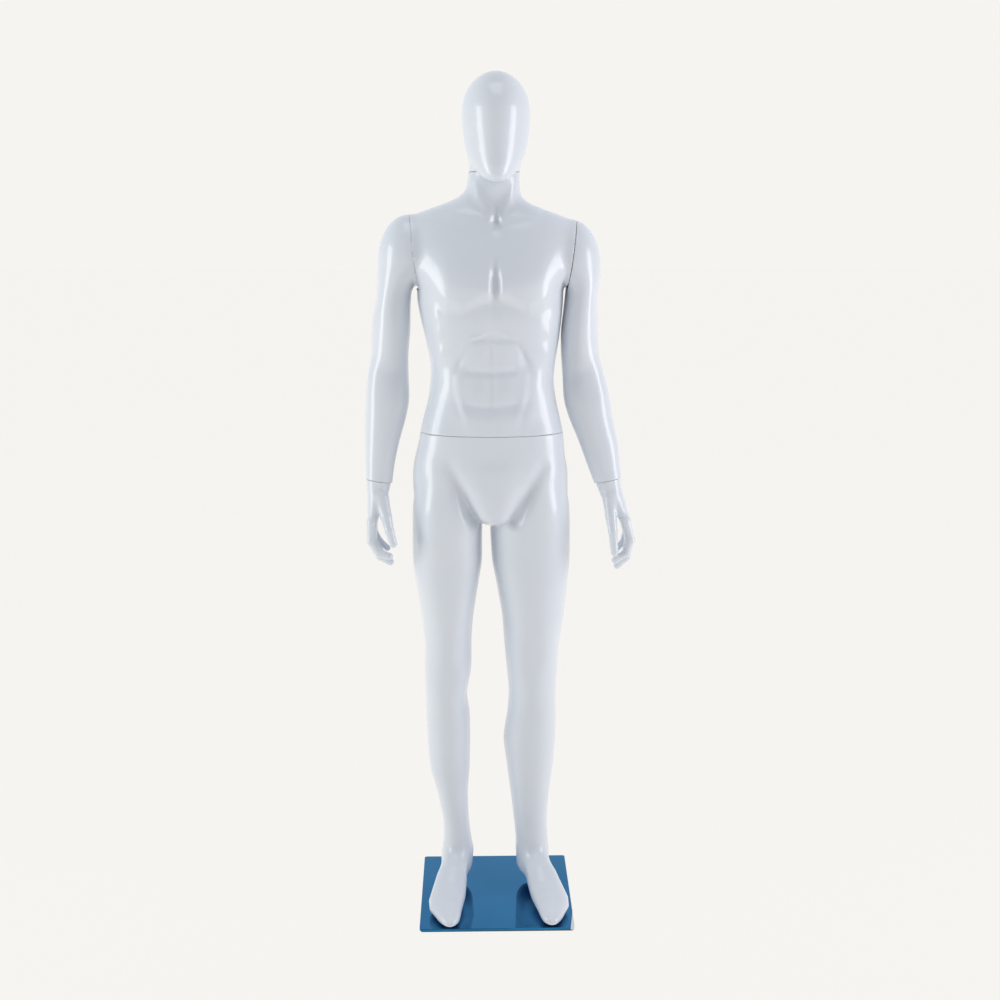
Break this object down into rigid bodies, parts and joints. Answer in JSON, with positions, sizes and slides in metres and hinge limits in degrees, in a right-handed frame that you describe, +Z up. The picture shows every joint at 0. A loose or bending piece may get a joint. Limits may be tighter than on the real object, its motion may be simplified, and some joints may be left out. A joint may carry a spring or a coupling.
{
  "type": "mannequin",
  "caption": "Standing full body display mannequin with an egg head, muscled torso, loose hanging arms, one-piece legs and a square film-covered steel base.",
  "frame": {"origin": "centre of the base's underside, on the floor", "axes": "+Z up, the figure faces -Y, its left side is at +X"},
  "size_m": [0.6062, 0.35, 1.88],
  "materials": {
    "gloss_white": "high gloss lacquer, cool white",
    "plywood": "raw birch plywood",
    "resin": "cast filler resin",
    "brass": "turned",
    "foam": "fine closed-cell foam sheet",
    "blue_film": "glossy tinted protective film over polished steel",
    "polished_steel": "mirror polished stainless steel",
    "steel": "zinc plated"
  },
  "bodies": {
    "base": {"base_underlay": "foam", "base_plate": "polished_steel", "base_film": "blue_film", "foot_rod": "steel", "rod_bolt": "steel"},
    "lower_body": {"hips_and_legs_shell": "gloss_white", "ankle_tube": "steel", "ankle_grub_screw": "steel", "waist_board": "plywood", "waist_socket": "steel", "waist_socket_screws": "steel"},
    "torso": {"torso_shell": "gloss_white", "torso_board": "plywood", "waist_spigot": "steel", "waist_spigot_screws": "steel", "neck_board": "plywood", "neck_bush": "brass", "neck_bush_screws": "steel", "right_shoulder_board": "plywood", "right_shoulder_socket": "steel", "right_shoulder_screws": "steel", "left_shoulder_board": "plywood", "left_shoulder_socket": "steel", "left_shoulder_screws": "steel"},
    "neck": {"neck_swivel": "steel", "neck_clip": "steel"},
    "head": {"head_shell": "gloss_white", "head_board": "plywood", "head_socket": "steel", "head_socket_screws": "steel"},
    "right_arm": {"right_arm_shell": "gloss_white", "right_arm_board": "plywood", "right_arm_stud": "steel", "right_arm_stud_screws": "steel", "right_wrist_plug": "resin", "right_wrist_bush": "brass"},
    "right_hand": {"right_hand": "gloss_white", "right_hand_peg": "steel"},
    "left_arm": {"left_arm_shell": "gloss_white", "left_arm_board": "plywood", "left_arm_stud": "steel", "left_arm_stud_screws": "steel", "left_wrist_plug": "resin", "left_wrist_bush": "brass"},
    "left_hand": {"left_hand": "gloss_white", "left_hand_peg": "steel"}
  },
  "joints": [
    {"name": "body_lift", "type": "slide", "parent": "base", "child": "lower_body", "axis": [0, 0, 1], "range_m": [0, 0.14]},
    {"name": "torso_lift", "type": "slide", "parent": "lower_body", "child": "torso", "axis": [0, 0, 1], "range_m": [0, 0.07]},
    {"name": "head_turn", "type": "hinge", "parent": "torso", "child": "neck", "pos_m": [-0.002, 0.043, 1.671], "axis": [0, 0, 1], "range_deg": [-90, 90]},
    {"name": "head_lift", "type": "slide", "parent": "neck", "child": "head", "axis": [0, 0, 1], "range_m": [0, 0.05]},
    {"name": "right_arm_turn", "type": "hinge", "parent": "torso", "child": "right_arm", "pos_m": [-0.177, 0.042, 1.512], "axis": [-0.9945, 0, -0.1045], "range_deg": [0, 90]},
    {"name": "left_arm_turn", "type": "hinge", "parent": "torso", "child": "left_arm", "pos_m": [0.168, 0.042, 1.512], "axis": [-0.9903, 0, 0.1392], "range_deg": [0, 90]},
    {"name": "right_hand_turn", "type": "hinge", "parent": "right_arm", "child": "right_hand", "pos_m": [-0.2565, 0.012, 1], "axis": [-0.1381, -0.0888, -0.9864], "range_deg": [-90, 90]},
    {"name": "left_hand_turn", "type": "hinge", "parent": "left_arm", "child": "left_hand", "pos_m": [0.2505, 0.012, 1], "axis": [0.214, -0.0876, -0.9729], "range_deg": [-90, 90]}
  ]
}
